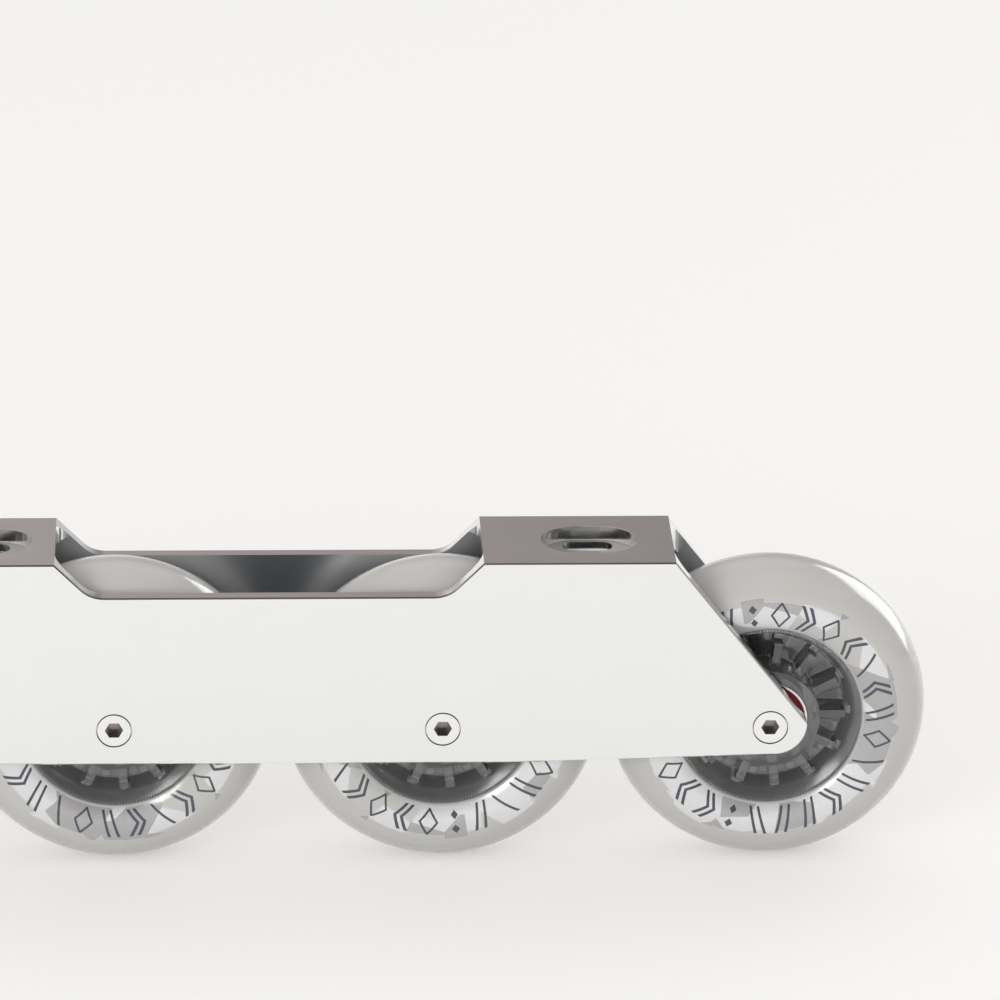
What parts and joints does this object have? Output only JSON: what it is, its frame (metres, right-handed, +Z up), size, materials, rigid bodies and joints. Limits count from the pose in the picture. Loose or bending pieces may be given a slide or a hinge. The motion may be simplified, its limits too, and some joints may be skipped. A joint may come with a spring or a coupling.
{
  "type": "inline skate frame",
  "caption": "Machined aluminium inline skate frame with urethane wheels on through axles and slotted decks that bolt to a boot.",
  "frame": {"origin": "on the floor under the tyres, midway along the wheels and across the frame", "axes": "+X along the skate towards the longer deck, +Y across it away from the axle heads, +Z up"},
  "size_m": [0.366, 0.0365, 0.095],
  "materials": {
    "frame": "bright satin, machined",
    "axle": "bright plated",
    "spacer": "turned",
    "bearing_steel": "ground",
    "tyre": "milky cast urethane, satin",
    "hub": "clear moulded plastic",
    "shield": "dark red, satin",
    "cage": "stamped",
    "ball": "polished"
  },
  "bodies": {
    "chassis": {"frame": "frame", "axle_1": "axle", "axle_2": "axle", "axle_3": "axle", "axle_4": "axle", "spacer_1": "spacer", "spacer_2": "spacer", "spacer_3": "spacer", "spacer_4": "spacer", "inner_rings_1": "bearing_steel", "inner_rings_2": "bearing_steel", "inner_rings_3": "bearing_steel", "inner_rings_4": "bearing_steel"},
    "wheel_1": {"tyre_1": "tyre", "hub_1": "hub", "outer_rings_1": "bearing_steel", "shields_1": "shield"},
    "wheel_2": {"tyre_2": "tyre", "hub_2": "hub", "outer_rings_2": "bearing_steel", "shields_2": "shield"},
    "wheel_3": {"tyre_3": "tyre", "hub_3": "hub", "outer_rings_3": "bearing_steel", "shields_3": "shield"},
    "wheel_4": {"tyre_4": "tyre", "hub_4": "hub", "outer_rings_4": "bearing_steel", "shields_4": "shield"},
    "rollers_1": {"cages_1": "cage", "balls_1": "ball"},
    "rollers_2": {"cages_2": "cage", "balls_2": "ball"},
    "rollers_3": {"cages_3": "cage", "balls_3": "ball"},
    "rollers_4": {"cages_4": "cage", "balls_4": "ball"}
  },
  "joints": [
    {"name": "wheel_1_spin", "type": "hinge", "parent": "chassis", "child": "wheel_1", "pos_m": [-0.138, 0, 0.045], "axis": [0, 1, 0], "continuous": true},
    {"name": "wheel_2_spin", "type": "hinge", "parent": "chassis", "child": "wheel_2", "pos_m": [-0.046, 0, 0.045], "axis": [0, 1, 0], "continuous": true},
    {"name": "wheel_3_spin", "type": "hinge", "parent": "chassis", "child": "wheel_3", "pos_m": [0.046, 0, 0.045], "axis": [0, 1, 0], "continuous": true},
    {"name": "wheel_4_spin", "type": "hinge", "parent": "chassis", "child": "wheel_4", "pos_m": [0.138, 0, 0.045], "axis": [0, 1, 0], "continuous": true},
    {"name": "rollers_1_roll", "type": "hinge", "parent": "chassis", "child": "rollers_1", "pos_m": [-0.138, 0, 0.045], "axis": [0, 1, 0], "continuous": true},
    {"name": "rollers_2_roll", "type": "hinge", "parent": "chassis", "child": "rollers_2", "pos_m": [-0.046, 0, 0.045], "axis": [0, 1, 0], "continuous": true},
    {"name": "rollers_3_roll", "type": "hinge", "parent": "chassis", "child": "rollers_3", "pos_m": [0.046, 0, 0.045], "axis": [0, 1, 0], "continuous": true},
    {"name": "rollers_4_roll", "type": "hinge", "parent": "chassis", "child": "rollers_4", "pos_m": [0.138, 0, 0.045], "axis": [0, 1, 0], "continuous": true}
  ],
  "couplings": [
    {"joint": "rollers_1_roll", "follows": "wheel_1_spin", "ratio": 0.6323},
    {"joint": "rollers_2_roll", "follows": "wheel_2_spin", "ratio": 0.6323},
    {"joint": "rollers_3_roll", "follows": "wheel_3_spin", "ratio": 0.6323},
    {"joint": "rollers_4_roll", "follows": "wheel_4_spin", "ratio": 0.6323}
  ]
}
